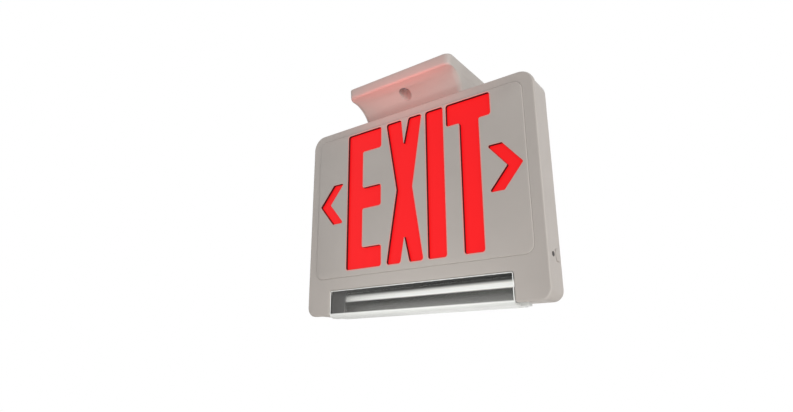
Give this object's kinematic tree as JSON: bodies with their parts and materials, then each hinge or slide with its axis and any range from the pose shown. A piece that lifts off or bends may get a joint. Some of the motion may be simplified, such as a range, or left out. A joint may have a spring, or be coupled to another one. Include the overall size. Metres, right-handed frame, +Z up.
{
  "type": "emergency exit light",
  "caption": "Ceiling-hung emergency exit light: slim moulded housing with a back-lit legend plate, clear light bar along its foot, coved canopy and side test button.",
  "frame": {"origin": "middle of the ceiling plane, on the centre of the junction box screw pattern, at the top of the canopy and ceiling plate", "axes": "+Z up into the ceiling, legend faces -Y, +X to the right as a viewer reads the legend; the test button is on the +X side"},
  "size_m": [0.275, 0.08, 0.243],
  "materials": {
    "housing_plastic": "warm off-white moulded ABS, fine satin",
    "plated_steel": "zinc plated",
    "red_diffuser": "translucent red acrylic, lit from behind",
    "white_tray": "white inside face",
    "led_board": "white solder mask",
    "red_led": "LED package",
    "white_led": "LED package, lit",
    "clear_lens": "clear polycarbonate, polished",
    "polished_reflector": "vacuum-metallised, bright",
    "battery_sleeve": "shrink sleeve",
    "circuit_board": "green solder mask",
    "core_steel": "varnished laminations",
    "coil_tape": "yellow coil tape",
    "capacitor_can": "sleeved can",
    "terminal_plastic": "moulded nylon",
    "switch_plastic": "moulded nylon",
    "button_plastic": "moulded ABS",
    "pilot_lens": "dark red lamp"
  },
  "bodies": {
    "fixture": {"canopy": "housing_plastic", "ceiling_plate": "plated_steel", "canopy_screws": "plated_steel", "canopy_nipple": "plated_steel", "nipple_locknuts": "plated_steel", "rear_housing": "housing_plastic", "front_cover": "housing_plastic", "stencil_plate": "housing_plastic", "red_diffuser": "red_diffuser", "light_box": "white_tray", "legend_led_board": "led_board", "legend_lamps": "red_led", "lightbar_lens": "clear_lens", "lightbar_reflector": "polished_reflector", "reflector_end_left": "housing_plastic", "reflector_end_right": "housing_plastic", "lightbar_led_board": "led_board", "lightbar_lamps": "white_led", "battery_pack": "battery_sleeve", "battery_strap": "plated_steel", "circuit_board": "circuit_board", "transformer_core": "core_steel", "transformer_winding": "coil_tape", "capacitors": "capacitor_can", "terminal_block": "terminal_plastic", "housing_screws": "plated_steel", "indicator_board": "circuit_board", "test_switch": "switch_plastic", "pilot_lamp": "pilot_lens"},
    "test_button": {"test_button": "button_plastic"}
  },
  "joints": [
    {"name": "test_button_press", "type": "slide", "parent": "fixture", "child": "test_button", "axis": [-1, 0, 0], "range_m": [0, 0.0012], "stiffness_N_per_m": 800, "springref_m": -0.0012}
  ]
}
